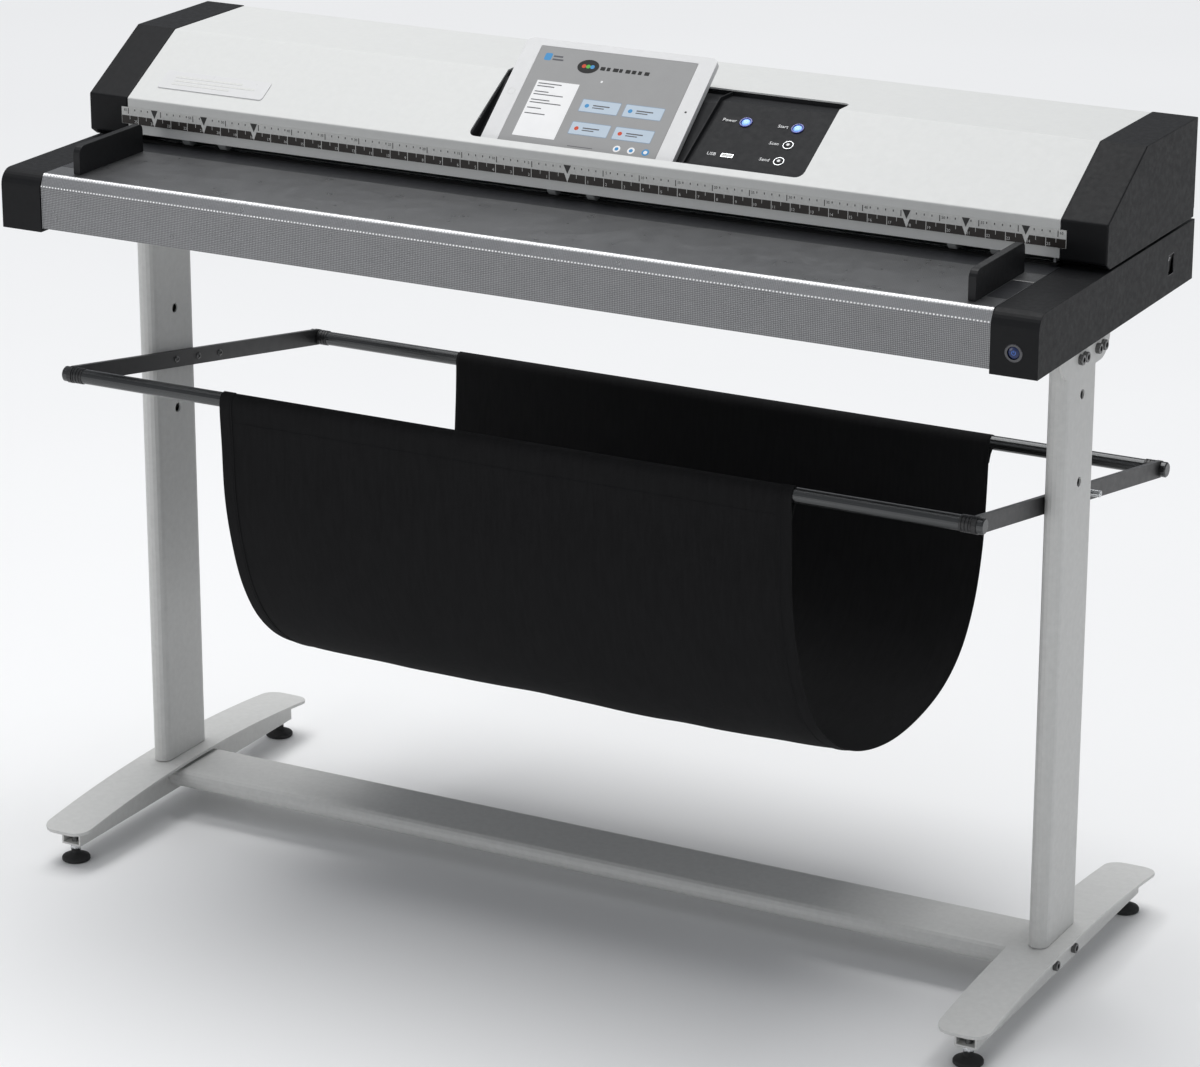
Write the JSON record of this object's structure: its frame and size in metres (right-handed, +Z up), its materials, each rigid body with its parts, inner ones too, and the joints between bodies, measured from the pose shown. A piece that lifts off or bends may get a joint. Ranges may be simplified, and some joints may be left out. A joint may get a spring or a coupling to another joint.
{
  "type": "wide-format scanner",
  "caption": "Wide sheet-fed roller scanner on a floor stand, with a lifting head, sliding paper guides, a docked tablet, press buttons, levelling feet and a fabric catch basket.",
  "frame": {"origin": "on the floor under the centre of the whole object", "axes": "+X along the machine to the operator's right, +Y from the operator towards the rear, +Z up"},
  "size_m": [1.423, 0.6516, 1.1068],
  "materials": {
    "cap_black": "fine texture",
    "cover_white": "satin powder coat",
    "white_plastic": "satin",
    "table_grey": "embossed satin",
    "table_black": "satin black",
    "sheet_steel": "zinc plated",
    "scan_glass": "clear",
    "tablet_glass": "glossy",
    "black_metal": "gloss black",
    "sensor_housing": "black anodised",
    "circuit_board": "solder mask",
    "roller_rubber": "matt",
    "press_rubber": "matt",
    "blue_lens": "lit",
    "switch_black": "satin",
    "stand_silver": "fine powder coat",
    "leveller_black": "satin",
    "basket_cloth": "woven"
  },
  "bodies": {
    "base": {"left_base_cap": "cap_black", "right_base_cap": "cap_black", "power_inlet": "cap_black", "feed_table": "table_grey", "infeed_plate": "table_black", "rear_table": "table_black", "base_tray": "sheet_steel", "left_side_frame": "sheet_steel", "right_side_frame": "sheet_steel", "left_hinge": "sheet_steel", "right_hinge": "sheet_steel", "power_supply": "sheet_steel", "button_ring": "sheet_steel", "scan_glass": "scan_glass", "front_rod": "black_metal", "rear_rod": "black_metal", "left_side_bar": "black_metal", "right_side_bar": "black_metal", "transport_motor": "black_metal", "sensor_bar": "sensor_housing", "main_board": "circuit_board", "drive_belt": "roller_rubber", "left_column": "stand_silver", "right_column": "stand_silver", "left_column_bracket": "stand_silver", "right_column_bracket": "stand_silver", "left_foot_plate": "stand_silver", "right_foot_plate": "stand_silver", "left_foot_channel": "stand_silver", "right_foot_channel": "stand_silver", "crossbar": "stand_silver", "basket_fabric": "basket_cloth"},
    "head": {"head_cover": "cover_white", "left_head_cap": "cap_black", "right_head_cap": "cap_black", "head_frame": "sheet_steel", "background_plate": "white_plastic", "ruler_strip": "white_plastic", "control_panel": "cap_black", "usb_socket": "sheet_steel"},
    "tablet": {"tablet_body": "white_plastic", "tablet_screen": "tablet_glass"},
    "front_drive": {"front_drive_roller": "roller_rubber"},
    "rear_drive": {"rear_drive_roller": "roller_rubber"},
    "motor_pulley": {"motor_pulley": "sheet_steel"},
    "front_press": {"front_press_roller": "press_rubber"},
    "rear_press": {"rear_press_roller": "press_rubber"},
    "power_key": {"power_button": "blue_lens"},
    "start_key": {"start_button": "blue_lens"},
    "scan_key": {"scan_button": "sheet_steel"},
    "send_key": {"send_button": "sheet_steel"},
    "front_key": {"front_button": "blue_lens"},
    "rocker": {"rocker_switch": "switch_black"},
    "left_guide": {"left_paper_guide": "cap_black"},
    "right_guide": {"right_paper_guide": "cap_black"},
    "left_front_foot": {"left_front_leveller": "leveller_black"},
    "left_rear_foot": {"left_rear_leveller": "leveller_black"},
    "right_front_foot": {"right_front_leveller": "leveller_black"},
    "right_rear_foot": {"right_rear_leveller": "leveller_black"}
  },
  "joints": [
    {"name": "head_hinge", "type": "hinge", "parent": "base", "child": "head", "pos_m": [0, 0.1762, 0.95], "axis": [-1, 0, 0], "range_deg": [0, 45]},
    {"name": "tablet_lift", "type": "slide", "parent": "head", "child": "tablet", "axis": [0, 0.7705, 0.6374], "range_m": [0, 0.15]},
    {"name": "front_drive_spin", "type": "hinge", "parent": "base", "child": "front_drive", "pos_m": [0, -0.0898, 0.9312], "axis": [1, 0, 0], "continuous": true},
    {"name": "rear_drive_spin", "type": "hinge", "parent": "base", "child": "rear_drive", "pos_m": [0, 0.0037, 0.9312], "axis": [1, 0, 0], "continuous": true},
    {"name": "motor_spin", "type": "hinge", "parent": "base", "child": "motor_pulley", "pos_m": [0.669, 0.0927, 0.9], "axis": [1, 0, 0], "continuous": true},
    {"name": "front_press_spin", "type": "hinge", "parent": "head", "child": "front_press", "pos_m": [0, -0.0898, 0.9548], "axis": [1, 0, 0], "continuous": true},
    {"name": "rear_press_spin", "type": "hinge", "parent": "head", "child": "rear_press", "pos_m": [0, 0.0037, 0.9548], "axis": [1, 0, 0], "continuous": true},
    {"name": "power_press", "type": "slide", "parent": "head", "child": "power_key", "axis": [0, 0.5111, -0.8595], "range_m": [0, 0.0009], "stiffness_N_per_m": 1500},
    {"name": "start_press", "type": "slide", "parent": "head", "child": "start_key", "axis": [0, 0.5111, -0.8595], "range_m": [0, 0.0009], "stiffness_N_per_m": 1500},
    {"name": "scan_press", "type": "slide", "parent": "head", "child": "scan_key", "axis": [0, 0.5111, -0.8595], "range_m": [0, 0.0009], "stiffness_N_per_m": 1500},
    {"name": "send_press", "type": "slide", "parent": "head", "child": "send_key", "axis": [0, 0.5111, -0.8595], "range_m": [0, 0.0009], "stiffness_N_per_m": 1500},
    {"name": "front_press_in", "type": "slide", "parent": "base", "child": "front_key", "axis": [0, 1, 0], "range_m": [0, 0.0015], "stiffness_N_per_m": 1500},
    {"name": "rocker_turn", "type": "hinge", "parent": "base", "child": "rocker", "pos_m": [0.7039, 0.1072, 0.9035], "axis": [0, 1, 0], "range_deg": [-7, 0]},
    {"name": "left_guide_slide", "type": "slide", "parent": "base", "child": "left_guide", "axis": [1, 0, 0], "range_m": [0, 0.45]},
    {"name": "right_guide_slide", "type": "slide", "parent": "base", "child": "right_guide", "axis": [-1, 0, 0], "range_m": [0, 0.45]},
    {"name": "left_front_height", "type": "slide", "parent": "base", "child": "left_front_foot", "axis": [0, 0, -1], "range_m": [0, 0.012]},
    {"name": "left_rear_height", "type": "slide", "parent": "base", "child": "left_rear_foot", "axis": [0, 0, -1], "range_m": [0, 0.012]},
    {"name": "right_front_height", "type": "slide", "parent": "base", "child": "right_front_foot", "axis": [0, 0, -1], "range_m": [0, 0.012]},
    {"name": "right_rear_height", "type": "slide", "parent": "base", "child": "right_rear_foot", "axis": [0, 0, -1], "range_m": [0, 0.012]}
  ],
  "couplings": [
    {"joint": "rear_drive_spin", "follows": "front_drive_spin", "ratio": 1},
    {"joint": "motor_spin", "follows": "front_drive_spin", "ratio": 1.3}
  ]
}
